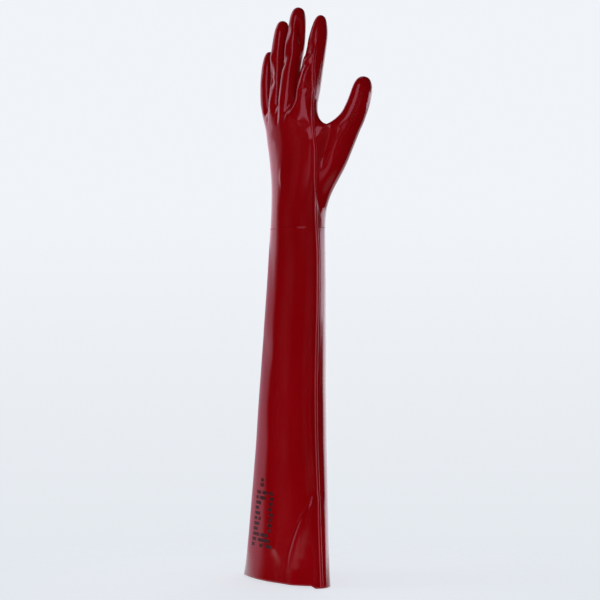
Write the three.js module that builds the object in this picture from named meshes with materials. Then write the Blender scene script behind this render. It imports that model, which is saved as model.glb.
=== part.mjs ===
// A long PVC coated work glove for the left hand, in the form that it has when it is worn.
// Millimetres, +Z up from the mouth of the sleeve to the fingertips, +X to the thumb side, +Y to the palm.
// The glove is dipped in one piece: one skin, open at the mouth and hollow to the fingertips.
// A coarse cage of rings is rounded once by Catmull-Clark subdivision, folded, and given its wall inwards.
import * as THREE from "three";

// Lengths up the glove
const SLEEVE_LENGTH = 370; // from the cut edge to the ring seam, where the sleeve meets the hand
const PALM_LENGTH = 130; // from the ring seam to the gaps between the fingers
const INDEX_LENGTH = 90;
const MIDDLE_LENGTH = 98;
const RING_LENGTH = 89;
const LITTLE_LENGTH = 65;
const THUMB_LENGTH = 49; // above the web

// Breadths run from the thumb side to the little finger, depths from the back of the hand to the palm
const CUFF_BREADTH = 152;
const CUFF_DEPTH = 66;
const WRIST_BREADTH = 78;
const WRIST_DEPTH = 49;
const PALM_BREADTH = 94;
const PALM_DEPTH = 38;
const FINGER_WIDTH = 21;
const LITTLE_WIDTH = 18.5;
const THUMB_WIDTH = 25;
const WALL = 1.5;

// How far the wrist stands off the middle of the mouth, and where the thumb leaves the hand
const LEAN_TO_THUMB = 8;
const LEAN_TO_PALM = 10;
const THUMB_ROOT_HEIGHT = 28; // above the ring seam
const THUMB_ROOT_SIDE = 32; // from the middle of the palm
const THUMB_ROOT_PALM = 8;
const THUMB_SPREAD = 0.48; // sideways for each millimetre up
const THUMB_FORWARD = 0.18; // to the palm for each millimetre up

// Sleeve sections. flare goes from 0 at the wrist to 1 at the mouth, for the breadth and for the depth;
// lean is the share of the lean reached, and square is the exponent of the section's outline.
const SLEEVE = [
  { at: 0.0, flare: 1.0, flareDepth: 1.0, lean: 0.0, square: 1.85 },
  { at: 0.038, flare: 0.93, flareDepth: 0.85, lean: 0.05, square: 1.85 },
  { at: 0.086, flare: 0.86, flareDepth: 0.74, lean: 0.1, square: 1.9 },
  { at: 0.146, flare: 0.765, flareDepth: 0.67, lean: 0.17, square: 1.95 },
  { at: 0.227, flare: 0.665, flareDepth: 0.63, lean: 0.25, square: 2.0 },
  { at: 0.351, flare: 0.46, flareDepth: 0.65, lean: 0.38, square: 2.0 },
  { at: 0.511, flare: 0.31, flareDepth: 0.64, lean: 0.5, square: 2.0 },
  { at: 0.676, flare: 0.22, flareDepth: 0.38, lean: 0.67, square: 2.0 },
  { at: 0.83, flare: 0.19, flareDepth: 0.07, lean: 0.82, square: 2.0 },
  { at: 0.965, flare: 0.11, flareDepth: -0.09, lean: 0.92, square: 2.0 },
];

// Hand sections up to the gaps between the fingers. hand goes from 0, the wrist's outline, to 1, the
// palm's; back and front are shares of the depth on each side of the section's middle; thumb is how far
// the section takes in the ball of the thumb; lean continues the sleeve's lean.
const HAND = [
  { at: 0.1, hand: 0.0, back: 0.5, front: 0.5, thumb: 0.05, leanSide: 1.0, lean: 0.98, square: 2.0 },
  { at: 0.23, hand: 0.05, back: 0.48, front: 0.52, thumb: 0.4, leanSide: 1.0, lean: 0.98, square: 2.05 },
  { at: 0.35, hand: 0.25, back: 0.46, front: 0.54, thumb: 0.8, leanSide: 1.0, lean: 0.92, square: 2.1 },
  { at: 0.47, hand: 0.55, back: 0.45, front: 0.55, thumb: 1.0, leanSide: 0.95, lean: 0.83, square: 2.2 },
  { at: 0.6, hand: 0.85, back: 0.45, front: 0.55, thumb: 1.0, leanSide: 0.85, lean: 0.74, square: 2.3 },
  { at: 0.7, hand: 1.0, back: 0.46, front: 0.54, thumb: 1.0, leanSide: 0.72, lean: 0.62, square: 2.4 },
];
const WEB_ROW = { at: 0.8, hand: 0.75, back: 0.47, front: 0.53, thumb: 1.0, leanSide: 0.75, lean: 0.5, square: 2.4 };
const KNUCKLE_ROW = { at: 0.89, hand: 1.0, back: 0.47, front: 0.43, thumb: 0, leanSide: 0.42, lean: 0.3, square: 2.5 };

// Where the columns stand on the breadth, from the thumb side (1) to the little finger (-1), on the
// back and again on the palm. Two steps make one finger.
const COLUMN_SHARES = [0.93, 0.71, 0.46, 0.23, -0.01, -0.24, -0.47, -0.71, -0.93];
const BACK_STEP = 20; // degrees between the sleeve's columns on the back of the hand
const PALM_STEP = 12; // and on the palm's side, which has the thumb's columns too
const THUMB_TURNS = [104, 52, 0, -52, -104]; // round the ball of the thumb, from the way it points

// Each finger's base on the row of gaps, as shares of half the palm's breadth and of its depth, and its
// height above PALM_LENGTH's end as a share of that length. gap is the height of the gap on the little
// finger's side of it. Stations go from the base to the tip as shares of the finger's length: how far up,
// to the thumb side and to the palm, and the section as shares of the finger's width.
const FINGERS = [
  {
    name: "index", length: INDEX_LENGTH, width: FINGER_WIDTH, side: 0.73, palm: 0.05, up: 0.0, gap: 0.055,
    stations: [
      { at: 0.12, side: 0.004, palm: 0.008, wide: 1.12, deep: 1.18 },
      { at: 0.27, side: 0.014, palm: 0.03, wide: 1.1, deep: 1.14 },
      { at: 0.45, side: 0.03, palm: 0.06, wide: 1.06, deep: 1.08 },
      { at: 0.63, side: 0.046, palm: 0.09, wide: 1.0, deep: 1.02 },
      { at: 0.78, side: 0.056, palm: 0.116, wide: 0.92, deep: 0.92 },
      { at: 0.91, side: 0.06, palm: 0.135, wide: 0.72, deep: 0.7 },
      { at: 0.98, side: 0.062, palm: 0.142, wide: 0.42, deep: 0.42 },
    ],
  },
  {
    name: "middle", length: MIDDLE_LENGTH, width: FINGER_WIDTH, side: 0.2, palm: -0.18, up: 0.02, gap: 0.03,
    stations: [
      { at: 0.1, side: 0.002, palm: 0.01, wide: 1.04, deep: 1.02 },
      { at: 0.27, side: 0.004, palm: 0.028, wide: 1.0, deep: 0.98 },
      { at: 0.44, side: 0.006, palm: 0.055, wide: 0.98, deep: 0.97 },
      { at: 0.6, side: 0.009, palm: 0.075, wide: 1.06, deep: 1.04 },
      { at: 0.76, side: 0.01, palm: 0.1, wide: 0.95, deep: 0.9 },
      { at: 0.91, side: 0.01, palm: 0.112, wide: 0.82, deep: 0.8 },
      { at: 0.98, side: 0.01, palm: 0.12, wide: 0.52, deep: 0.5 },
    ],
  },
  {
    name: "ring", length: RING_LENGTH, width: FINGER_WIDTH, side: -0.27, palm: -0.17, up: 0.0, gap: -0.01,
    stations: [
      { at: 0.1, side: -0.004, palm: 0.002, wide: 0.98, deep: 0.98 },
      { at: 0.27, side: -0.01, palm: 0.012, wide: 0.9, deep: 0.92 },
      { at: 0.45, side: -0.018, palm: 0.022, wide: 0.94, deep: 0.96 },
      { at: 0.6, side: -0.022, palm: 0.034, wide: 0.98, deep: 1.0 },
      { at: 0.76, side: -0.024, palm: 0.052, wide: 0.88, deep: 0.9 },
      { at: 0.9, side: -0.024, palm: 0.068, wide: 0.76, deep: 0.76 },
      { at: 0.98, side: -0.024, palm: 0.075, wide: 0.46, deep: 0.46 },
    ],
  },
  {
    name: "little", length: LITTLE_LENGTH, width: LITTLE_WIDTH, side: -0.73, palm: -0.1, up: -0.045, gap: 0,
    stations: [
      { at: 0.12, side: -0.02, palm: -0.012, wide: 1.08, deep: 1.06 },
      { at: 0.28, side: -0.04, palm: -0.016, wide: 1.0, deep: 1.0 },
      { at: 0.45, side: -0.062, palm: -0.008, wide: 0.98, deep: 0.98 },
      { at: 0.6, side: -0.08, palm: 0.008, wide: 0.97, deep: 0.97 },
      { at: 0.76, side: -0.094, palm: 0.025, wide: 0.87, deep: 0.87 },
      { at: 0.9, side: -0.1, palm: 0.036, wide: 0.7, deep: 0.7 },
      { at: 0.98, side: -0.1, palm: 0.04, wide: 0.42, deep: 0.42 },
    ],
  },
];
const THUMB = {
  name: "thumb", length: THUMB_LENGTH, width: THUMB_WIDTH,
  stations: [
    { at: 0.1, side: 0.045, palm: 0.025, wide: 1.03, deep: 1.03 },
    { at: 0.25, side: 0.11, palm: 0.062, wide: 0.98, deep: 0.98 },
    { at: 0.43, side: 0.18, palm: 0.105, wide: 0.94, deep: 0.94 },
    { at: 0.6, side: 0.225, palm: 0.135, wide: 0.91, deep: 0.91 },
    { at: 0.77, side: 0.26, palm: 0.155, wide: 0.84, deep: 0.84 },
    { at: 0.9, side: 0.28, palm: 0.165, wide: 0.66, deep: 0.66 },
    { at: 0.98, side: 0.285, palm: 0.17, wide: 0.36, deep: 0.36 },
  ],
};
const WEB_DROP = 0.6; // how far the skin between two fingers falls away on each side, as a share of a finger's width
const THUMB_WEB_SHARE = 0.52; // how far out to the thumb its web bottoms out
const THUMB_WEB_SINK = 3; // and how far under the thumb's root

// Folds of the sleeve, each along a line of points. turn is the angle round the section from the side
// seam in degrees, negative over the back of the hand, and at is the share of the sleeve's length.
// rise and width are shares of FOLD_HEIGHT and FOLD_WIDTH, and a negative rise is a valley.
const FOLD_HEIGHT = 4.5;
const FOLD_WIDTH = 12;
const FOLDS = [
  {
    name: "cuff_diagonal", width: 1.0,
    line: [
      { turn: -10, at: 0.24, rise: 0 }, { turn: -26, at: 0.195, rise: 0.7 },
      { turn: -37, at: 0.16, rise: 1 }, { turn: -49, at: 0.097, rise: 1 }, { turn: -54, at: 0, rise: 0.8 },
    ],
  },
  {
    name: "cuff_hollow", width: 1.4,
    line: [{ turn: -22, at: 0.15, rise: 0 }, { turn: -25, at: 0.08, rise: -0.8 }, { turn: -28, at: 0, rise: -0.7 }],
  },
  {
    name: "cuff_left", width: 0.9,
    line: [{ turn: -74, at: 0.1, rise: 0 }, { turn: -64, at: 0.05, rise: 0.4 }, { turn: -56, at: 0, rise: 0.2 }],
  },
  {
    name: "beside_seam", width: 0.8,
    line: [
      { turn: -8, at: 0.6, rise: 0 }, { turn: -15.5, at: 0.5, rise: 0.3 },
      { turn: -15.5, at: 0.425, rise: 0.3 }, { turn: -11, at: 0.32, rise: 0 },
    ],
  },
  {
    name: "forearm_crease", width: 0.9,
    line: [{ turn: -126, at: 0.72, rise: 0 }, { turn: -110, at: 0.66, rise: -0.35 }, { turn: -96, at: 0.6, rise: 0 }],
  },
];

const HAND_COLUMNS = COLUMN_SHARES.length;
const DEGREES = Math.PI / 180;
const WEB_HEIGHT = SLEEVE_LENGTH + PALM_LENGTH * WEB_ROW.at;
const GAP_HEIGHT = SLEEVE_LENGTH + PALM_LENGTH;
const mix = THREE.MathUtils.lerp;
const place = (x, y, z) => new THREE.Vector3(x, y, z);

// The control rings shrink when they are rounded: this is how much larger a ring of n points has to be.
const outset = (n) => 8 / (6 + 2 * Math.cos((2 * Math.PI) / n));

// The middle, half breadth and depths of the section that a row of the sleeve or hand describes.
function sleeveSection(row) {
  const breadth = mix(WRIST_BREADTH, CUFF_BREADTH, row.flare);
  const depth = mix(WRIST_DEPTH, CUFF_DEPTH, row.flareDepth);
  return {
    height: SLEEVE_LENGTH * row.at, x: LEAN_TO_THUMB * row.lean, y: LEAN_TO_PALM * row.lean,
    half: breadth / 2, back: depth / 2, front: depth / 2, square: row.square, hand: 0, thumb: 0,
  };
}

function handSection(row) {
  const breadth = mix(WRIST_BREADTH, PALM_BREADTH, row.hand);
  const depth = mix(WRIST_DEPTH, PALM_DEPTH, row.hand);
  return {
    height: SLEEVE_LENGTH + PALM_LENGTH * row.at, x: LEAN_TO_THUMB * row.leanSide, y: LEAN_TO_PALM * row.lean,
    half: breadth / 2, back: depth * row.back, front: depth * row.front, square: row.square,
    hand: row.hand, thumb: row.thumb,
  };
}

// A point of a section's outline, at a share of its half breadth, on the back or the palm side.
function outlinePoint(section, share, toPalm) {
  const s = Math.min(Math.abs(share), 1);
  const rise = (1 - s ** section.square) ** (1 / section.square);
  const y = toPalm ? section.front * rise : -section.back * rise;
  return place(section.x + section.half * share, section.y + y, section.height);
}

// The ball of the thumb at a height: its middle and its radius.
function thumbBall(height) {
  const up = height - SLEEVE_LENGTH - THUMB_ROOT_HEIGHT;
  const x = LEAN_TO_THUMB + THUMB_ROOT_SIDE + THUMB_SPREAD * up;
  const y = LEAN_TO_PALM + THUMB_ROOT_PALM + THUMB_FORWARD * up;
  return { x, y, radius: (THUMB_WIDTH / 2) * 1.04 };
}

// One ring of columns round a section: the side seam, the back's columns to the little finger, its
// outer side, the palm's columns, and the five columns of the thumb.
function ringPoints(section) {
  const points = [];
  COLUMN_SHARES.forEach((share, k) => {
    const onSleeve = Math.cos(k * BACK_STEP * DEGREES);
    points.push(outlinePoint(section, mix(onSleeve, share, section.hand), false));
  });
  points.push(outlinePoint(section, -1, false));
  for (let k = HAND_COLUMNS - 1; k >= 0; k--) {
    const steps = HAND_COLUMNS - k;
    const onSleeve = Math.cos((180 - steps * PALM_STEP) * DEGREES);
    points.push(outlinePoint(section, mix(onSleeve, COLUMN_SHARES[k], section.hand), true));
  }
  const ball = thumbBall(section.height);
  const outwards = Math.atan2(ball.y - section.y, ball.x - section.x);
  THUMB_TURNS.forEach((turn, k) => {
    const plain = outlinePoint(section, Math.cos((60 - PALM_STEP * k) * DEGREES), true);
    const out = ball.radius * outset(8) * Math.hypot(1, THUMB_SPREAD) * Math.cos(turn * DEGREES);
    const across = ball.radius * outset(8) * Math.sin(turn * DEGREES);
    const lobe = place(out, across, 0).applyAxisAngle(place(0, 0, 1), outwards);
    points.push(plain.lerp(lobe.add(place(ball.x, ball.y, section.height)), section.thumb));
  });
  return points;
}

// The cage: points and four-sided faces, built upwards ring by ring.
const cage = { points: [], faces: [] };
const addPoint = (p) => cage.points.push(p) - 1;

// Joins two rings of the same number of points with faces that look outwards.
function bridge(lower, upper, closed = true) {
  const count = closed ? lower.length : lower.length - 1;
  for (let i = 0; i < count; i++) {
    const j = (i + 1) % lower.length;
    cage.faces.push([lower[j], lower[i], upper[i], upper[j]]);
  }
}

// Builds a finger on its base ring of eight, from the thumb side over the back, and closes its tip.
function addFinger(finger, base, root, facing = place(1, 0, 0)) {
  const middles = finger.stations.map((s) =>
    root.clone().add(place(s.side, s.palm, s.at).multiplyScalar(finger.length)));
  let lower = base;
  finger.stations.forEach((station, k) => {
    const before = k ? middles[k - 1] : root;
    const after = middles[Math.min(k + 1, middles.length - 1)];
    const along = after.clone().sub(before).normalize();
    const side = facing.clone().addScaledVector(along, -along.dot(facing)).normalize();
    const palm = along.clone().cross(side);
    const upper = base.map((_, i) => {
      const a = (i * 2 * Math.PI) / base.length;
      const wide = (finger.width / 2) * station.wide * outset(8);
      const deep = (finger.width / 2) * station.deep * outset(8);
      const p = middles[k].clone();
      p.addScaledVector(side, wide * Math.cos(a)).addScaledVector(palm, -deep * Math.sin(a));
      return addPoint(p);
    });
    bridge(lower, upper);
    lower = upper;
  });
  const top = addPoint(root.clone().add(
    place(finger.stations.at(-1).side, finger.stations.at(-1).palm, 1.01).multiplyScalar(finger.length)));
  for (let i = 0; i < lower.length; i += 2) {
    const next = (i + 2) % lower.length;
    cage.faces.push([lower[i + 1], lower[i], top, lower[next]]);
  }
}

// A web vertex between two neighbouring fingers or the thumb, and the fall of the skin beside it.
function lower(index, drop) {
  cage.points[index].z -= drop;
}

function buildCage() {
  // Sleeve, wrist and palm, up to the web of the thumb
  const sections = [...SLEEVE.map(sleeveSection), ...[...HAND, WEB_ROW].map(handSection)];
  let ring = null;
  for (const section of sections) {
    const next = ringPoints(section).map(addPoint);
    if (ring) bridge(ring, next);
    ring = next;
  }

  // The thumb leaves the hand: its ring closes over the web
  const seam = ring[0];
  const palmEdge = ring[2 * HAND_COLUMNS];
  const thumbColumns = ring.slice(2 * HAND_COLUMNS + 1);
  const ball = thumbBall(WEB_HEIGHT);
  const webMiddle = cage.points[seam].clone().lerp(place(ball.x, ball.y, WEB_HEIGHT), THUMB_WEB_SHARE);
  webMiddle.z -= THUMB_WEB_SINK;
  const web = addPoint(webMiddle);
  for (const edge of [seam, palmEdge]) {
    cage.points[edge].lerp(webMiddle, THUMB_WEB_SHARE);
    lower(edge, THUMB_WEB_SINK);
  }
  const [palmNear, palmFar, tipSide, backFar, backNear] = thumbColumns;
  const downThumb = place(-THUMB_SPREAD, -THUMB_FORWARD, -1);
  for (const [edge, share] of [[tipSide, 1], [palmFar, 0.5], [backFar, 0.5]]) {
    cage.points[edge].addScaledVector(downThumb, share * THUMB_WIDTH * 0.5 * THUMB_SPREAD);
  }
  const thumbBase = [tipSide, backFar, backNear, seam, web, palmEdge, palmNear, palmFar];
  const outwards = place(THUMB_SPREAD, THUMB_FORWARD, 0).normalize();
  addFinger(THUMB, thumbBase, place(ball.x, ball.y, WEB_HEIGHT), outwards);

  // The knuckle row and the row of gaps, which end in the four fingers
  const handRing = [web, ...ring.slice(0, 2 * HAND_COLUMNS + 1)];
  const knuckles = handRow(handSection(KNUCKLE_ROW));
  bridge(handRing, knuckles);
  const roots = fingerRoots();
  const gaps = gapRow(roots);
  bridge(knuckles, gaps);
  const between = [2, 4, 6].map((k, i) => {
    const back = gaps[1 + k];
    const front = gaps[gaps.length - 1 - k];
    const middle = cage.points[back].clone().lerp(cage.points[front], 0.5);
    middle.z = GAP_HEIGHT + PALM_LENGTH * FINGERS[i].gap;
    for (const edge of [back, front]) lower(edge, WEB_DROP * FINGER_WIDTH);
    return addPoint(middle);
  });
  const sides = [gaps[0], ...between, gaps[HAND_COLUMNS + 1]];
  FINGERS.forEach((finger, i) => {
    const back = [0, 1, 2].map((k) => gaps[1 + 2 * i + k]);
    const front = [2, 1, 0].map((k) => gaps[gaps.length - 1 - 2 * i - k]);
    addFinger(finger, [sides[i], ...back, sides[i + 1], ...front], roots[i]);
  });
}

// A ring of the hand alone: the thumb side, the back's columns, the little finger's side, the palm's.
function handRow(section) {
  const back = COLUMN_SHARES.map((share) => outlinePoint(section, share, false));
  const front = COLUMN_SHARES.toReversed().map((share) => outlinePoint(section, share, true));
  const row = [outlinePoint(section, 1, false), ...back, outlinePoint(section, -1, false), ...front];
  return row.map(addPoint);
}

// The middles of the fingers' bases.
function fingerRoots() {
  const half = PALM_BREADTH / 2;
  const lean = place(LEAN_TO_THUMB * KNUCKLE_ROW.leanSide * 0.7, LEAN_TO_PALM * KNUCKLE_ROW.lean, 0);
  return FINGERS.map((f) =>
    place(half * f.side, PALM_DEPTH * f.palm, GAP_HEIGHT + PALM_LENGTH * f.up).add(lean));
}

// The row that the fingers stand on: half circles over each finger's base, which meet at the gaps.
function gapRow(bases) {
  const edge = (i, side) => {
    const neighbour = bases[i + side];
    if (!neighbour) return bases[i].x - (side * FINGERS[i].width) / 2;
    return (bases[i].x + neighbour.x) / 2;
  };
  const deep = (f) => (f.width / 2) * outset(8);
  const rowOn = (toPalm) => {
    const sign = toPalm ? 1 : -1;
    const row = [];
    FINGERS.forEach((f, i) => {
      const b = bases[i];
      if (i === 0) row.push(place(edge(0, -1) - f.width * 0.12, b.y + sign * deep(f) * 0.72, b.z));
      row.push(place(b.x, b.y + sign * deep(f) * 1.05, b.z));
      const next = bases[i + 1] ?? b;
      const x = bases[i + 1] ? edge(i, 1) : edge(i, 1) + f.width * 0.12;
      row.push(place(x, (b.y + next.y) / 2 + sign * deep(f) * 0.72, (b.z + next.z) / 2));
    });
    return row;
  };
  const first = place(edge(0, -1) + FINGER_WIDTH * 0.06, bases[0].y, bases[0].z);
  const last = place(edge(3, 1) - LITTLE_WIDTH * 0.06, bases[3].y, bases[3].z);
  return [first, ...rowOn(false), last, ...rowOn(true).toReversed()].map(addPoint);
}

// One step of Catmull-Clark subdivision on an open mesh of four-sided faces.
function subdivide({ points, faces }) {
  const made = points.map((p) => p.clone());
  const facePoint = faces.map((f) => {
    const middle = f.reduce((sum, i) => sum.add(points[i]), place(0, 0, 0)).divideScalar(f.length);
    return made.push(middle) - 1;
  });
  const edges = new Map();
  const edgeOf = (a, b) => (a < b ? `${a},${b}` : `${b},${a}`);
  faces.forEach((f, n) =>
    f.forEach((a, i) => {
      const b = f[(i + 1) % f.length];
      const key = edgeOf(a, b);
      if (!edges.has(key)) edges.set(key, { a, b, faces: [] });
      edges.get(key).faces.push(n);
    }));
  const around = points.map(() => ({ faces: [], edges: [], rim: [] }));
  for (const edge of edges.values()) {
    const middle = points[edge.a].clone().lerp(points[edge.b], 0.5);
    edge.middle = middle.clone();
    if (edge.faces.length === 2) {
      const inner = made[facePoint[edge.faces[0]]].clone().lerp(made[facePoint[edge.faces[1]]], 0.5);
      middle.lerp(inner, 0.5);
    }
    edge.point = made.push(middle) - 1;
    for (const v of [edge.a, edge.b]) {
      around[v].edges.push(edge.middle);
      if (edge.faces.length === 1) around[v].rim.push(edge.middle);
    }
  }
  faces.forEach((f, n) => f.forEach((v) => around[v].faces.push(made[facePoint[n]])));
  const mean = (list) => list.reduce((sum, p) => sum.add(p), place(0, 0, 0)).divideScalar(list.length);
  points.forEach((p, v) => {
    const { faces: near, edges: spokes, rim } = around[v];
    const n = spokes.length;
    if (rim.length) made[v] = p.clone().lerp(mean(rim), 0.5);
    else made[v] = mean(near).addScaledVector(mean(spokes), 2).addScaledVector(p, n - 3).divideScalar(n);
  });
  const split = [];
  faces.forEach((f, n) =>
    f.forEach((v, i) => {
      const after = edges.get(edgeOf(v, f[(i + 1) % f.length])).point;
      const before = edges.get(edgeOf(f[(i + f.length - 1) % f.length], v)).point;
      split.push([v, after, facePoint[n], before]);
    }));
  return { points: made, faces: split };
}

// Normals of a mesh's faces, and of its points, each the mean of its faces' normals.
function faceNormals({ points, faces }) {
  return faces.map(([a, b, c, d]) => {
    const across = points[c].clone().sub(points[a]);
    return across.cross(points[d].clone().sub(points[b])).normalize();
  });
}

function normalsOf(mesh) {
  const normals = mesh.points.map(() => place(0, 0, 0));
  const ofFaces = faceNormals(mesh);
  mesh.faces.forEach((f, n) => f.forEach((v) => normals[v].add(ofFaces[n])));
  return normals.map((n) => n.normalize());
}

// How far each point is set in so that the faces round it keep the wall's thickness.
function insets(mesh, normals) {
  const flattest = mesh.points.map(() => 1);
  const ofFaces = faceNormals(mesh);
  mesh.faces.forEach((f, n) =>
    f.forEach((v) => {
      flattest[v] = Math.min(flattest[v], normals[v].dot(ofFaces[n]));
    }));
  return flattest.map((share) => WALL / Math.max(share, 0.5));
}

// The sleeve's section at a height, between two rows of its table.
function sleeveAt(height) {
  const at = THREE.MathUtils.clamp(height / SLEEVE_LENGTH, 0, 1);
  const k = Math.max(1, SLEEVE.findIndex((row) => row.at >= at));
  const [low, high] = [SLEEVE[k - 1], SLEEVE[k]];
  const share = (at - low.at) / (high.at - low.at);
  const between = { at };
  for (const name of ["flare", "flareDepth", "lean", "square"]) between[name] = mix(low[name], high[name], share);
  return sleeveSection(between);
}

// Where a point lies on the sleeve: millimetres round it from the side seam, and millimetres up.
function onSleeve(p) {
  const s = sleeveAt(p.z);
  const turn = Math.atan2((p.y - s.y) / s.back, (p.x - s.x) / s.half);
  const girth = Math.hypot(s.half, s.back) / Math.SQRT2;
  return { turn, girth, up: p.z };
}

// The height of all the folds at a point of the sleeve.
function foldRise(p) {
  const here = onSleeve(p);
  let rise = 0;
  for (const fold of FOLDS) {
    const line = fold.line.map((q) => {
      return new THREE.Vector2(q.turn * DEGREES * here.girth, q.at * SLEEVE_LENGTH);
    });
    const spot = new THREE.Vector2(here.turn * here.girth, here.up);
    let nearest = Infinity;
    let lift = 0;
    for (let i = 1; i < line.length; i++) {
      const along = line[i].clone().sub(line[i - 1]);
      const share = THREE.MathUtils.clamp(spot.clone().sub(line[i - 1]).dot(along) / along.lengthSq(), 0, 1);
      const distance = spot.distanceTo(line[i - 1].clone().addScaledVector(along, share));
      if (distance < nearest) {
        nearest = distance;
        lift = mix(fold.line[i - 1].rise, fold.line[i].rise, share);
      }
    }
    rise += lift * FOLD_HEIGHT * Math.exp(-((nearest / (fold.width * FOLD_WIDTH)) ** 2));
  }
  return rise;
}

// Lifts the sleeve's points by its folds, and keeps the cut edge level.
function foldSleeve(mesh) {
  const normals = normalsOf(mesh);
  mesh.points.forEach((p, i) => {
    if (p.z > SLEEVE_LENGTH) return;
    const level = normals[i].clone().setZ(0).normalize();
    p.addScaledVector(level, foldRise(p));
  });
}

// The closed skin: the outside, the same surface set in by the wall, and the cut edge between them.
function skinGeometry(mesh) {
  const normals = normalsOf(mesh);
  const count = mesh.points.length;
  const inset = insets(mesh, normals);
  const inner = mesh.points.map((p, i) => p.clone().addScaledVector(normals[i], -inset[i]));
  inner.forEach((p, i) => {
    if (mesh.points[i].z < 1e-6) p.z = 0;
  });
  const positions = [...mesh.points, ...inner].flatMap((p) => p.toArray());
  const triangles = [];
  const open = new Map();
  const quad = (a, b, c, d) => triangles.push(a, b, c, a, c, d);
  for (const [a, b, c, d] of mesh.faces) {
    quad(a, b, c, d);
    quad(d + count, c + count, b + count, a + count);
    [[a, b], [b, c], [c, d], [d, a]].forEach(([p, q]) => {
      if (!open.delete(`${q},${p}`)) open.set(`${p},${q}`, [p, q]);
    });
  }
  for (const [p, q] of open.values()) quad(q, p, p + count, q + count);
  const geometry = new THREE.BufferGeometry();
  geometry.setAttribute("position", new THREE.Float32BufferAttribute(positions, 3));
  geometry.setIndex(triangles);
  geometry.computeVertexNormals();
  return geometry;
}

const redPvc = new THREE.MeshStandardMaterial({ name: "red_pvc", color: 0x8a0610, roughness: 0.22, metalness: 0 });

buildCage();
const rounded = subdivide(cage);
foldSleeve(rounded);

const group = new THREE.Group();
const skin = new THREE.Mesh(skinGeometry(rounded), redPvc);
skin.name = "glove_skin";
group.add(skin);

export default group;
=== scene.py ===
# %% [markdown]
# # A PVC coated work glove with a long sleeve
# The real glove starts as a sewn cotton liner, which is drawn over a former and dipped into liquid red
# PVC. What comes out is one glossy skin from the mouth of the sleeve to the fingertips, with the seams
# of the liner showing through it as low ridges. So one mesh makes the whole coat here, and the seams
# are thin strips laid on it. The glove stands as it is worn, a left hand with its palm turned away.

# %% Load the frame
import math

import bmesh
import bpy
import numpy as np
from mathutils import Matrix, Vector, noise
from mathutils.bvhtree import BVHTree


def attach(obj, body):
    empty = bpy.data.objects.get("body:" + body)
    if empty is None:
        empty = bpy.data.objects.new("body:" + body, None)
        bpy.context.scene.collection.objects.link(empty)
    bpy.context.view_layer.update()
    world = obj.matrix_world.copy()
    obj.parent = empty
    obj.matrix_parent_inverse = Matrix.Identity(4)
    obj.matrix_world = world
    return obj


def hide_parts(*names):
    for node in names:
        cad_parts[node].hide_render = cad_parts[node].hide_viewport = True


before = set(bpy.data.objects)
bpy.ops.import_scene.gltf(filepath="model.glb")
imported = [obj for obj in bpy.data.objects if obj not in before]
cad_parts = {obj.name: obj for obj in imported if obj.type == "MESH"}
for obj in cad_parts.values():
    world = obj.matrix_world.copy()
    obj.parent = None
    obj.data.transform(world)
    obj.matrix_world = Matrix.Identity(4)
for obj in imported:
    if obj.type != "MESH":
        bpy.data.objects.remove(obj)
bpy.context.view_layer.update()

# %% [markdown]
# ## The glove's measures
# A glove could be sculpted, but a maker works from measures: lengths along the arm, breadths and depths
# across it. They are kept here in millimetres, and become metres only where a vertex is placed. +X is
# the thumb side, +Y the palm, +Z up from the mouth to the fingertips.

# %% Measures in millimetres
MM = 0.001
SLEEVE_LENGTH, PALM_LENGTH = 370, 130
CUFF_BREADTH, CUFF_DEPTH = 152, 66
WRIST_BREADTH, WRIST_DEPTH = 78, 49
PALM_BREADTH, PALM_DEPTH = 94, 38
FINGER_WIDTH, LITTLE_WIDTH, THUMB_WIDTH = 21, 18.5, 25
LEAN_TO_THUMB, LEAN_TO_PALM = 8, 10
THUMB_ROOT_HEIGHT, THUMB_ROOT_SIDE, THUMB_ROOT_PALM = 28, 32, 8
THUMB_SPREAD, THUMB_FORWARD = 0.48, 0.18  # sideways and to the palm for each millimetre up
WALL = 1.5
GAP_HEIGHT = SLEEVE_LENGTH + PALM_LENGTH
print("sleeve and palm together:", GAP_HEIGHT, "mm")


def mix(a, b, share):
    return a + (b - a) * share


# %% Sections of the sleeve and of the hand
# at, flare of the breadth, flare of the depth, lean, squareness
SLEEVE_ROWS = [
    (0.0, 1.0, 1.0, 0.0, 1.85), (0.038, 0.93, 0.85, 0.05, 1.85), (0.086, 0.86, 0.74, 0.1, 1.9),
    (0.146, 0.765, 0.67, 0.17, 1.95), (0.227, 0.665, 0.63, 0.25, 2.0), (0.351, 0.46, 0.65, 0.38, 2.0),
    (0.511, 0.31, 0.64, 0.5, 2.0), (0.676, 0.22, 0.38, 0.67, 2.0), (0.83, 0.19, 0.07, 0.82, 2.0),
    (0.965, 0.11, -0.09, 0.92, 2.0),
]
# at, share of the palm's form, back, front, share of the thumb's ball, lean to the side, lean, squareness
HAND_ROWS = [
    (0.1, 0.0, 0.5, 0.5, 0.05, 1.0, 0.98, 2.0), (0.23, 0.05, 0.48, 0.52, 0.4, 1.0, 0.98, 2.05),
    (0.35, 0.25, 0.46, 0.54, 0.8, 1.0, 0.92, 2.1), (0.47, 0.55, 0.45, 0.55, 1.0, 0.95, 0.83, 2.2),
    (0.6, 0.85, 0.45, 0.55, 1.0, 0.85, 0.74, 2.3), (0.7, 1.0, 0.46, 0.54, 1.0, 0.72, 0.62, 2.4),
    (0.8, 0.75, 0.47, 0.53, 1.0, 0.75, 0.5, 2.4),
]
KNUCKLE_ROW = (0.89, 1.0, 0.47, 0.43, 0.0, 0.42, 0.3, 2.5)


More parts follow.
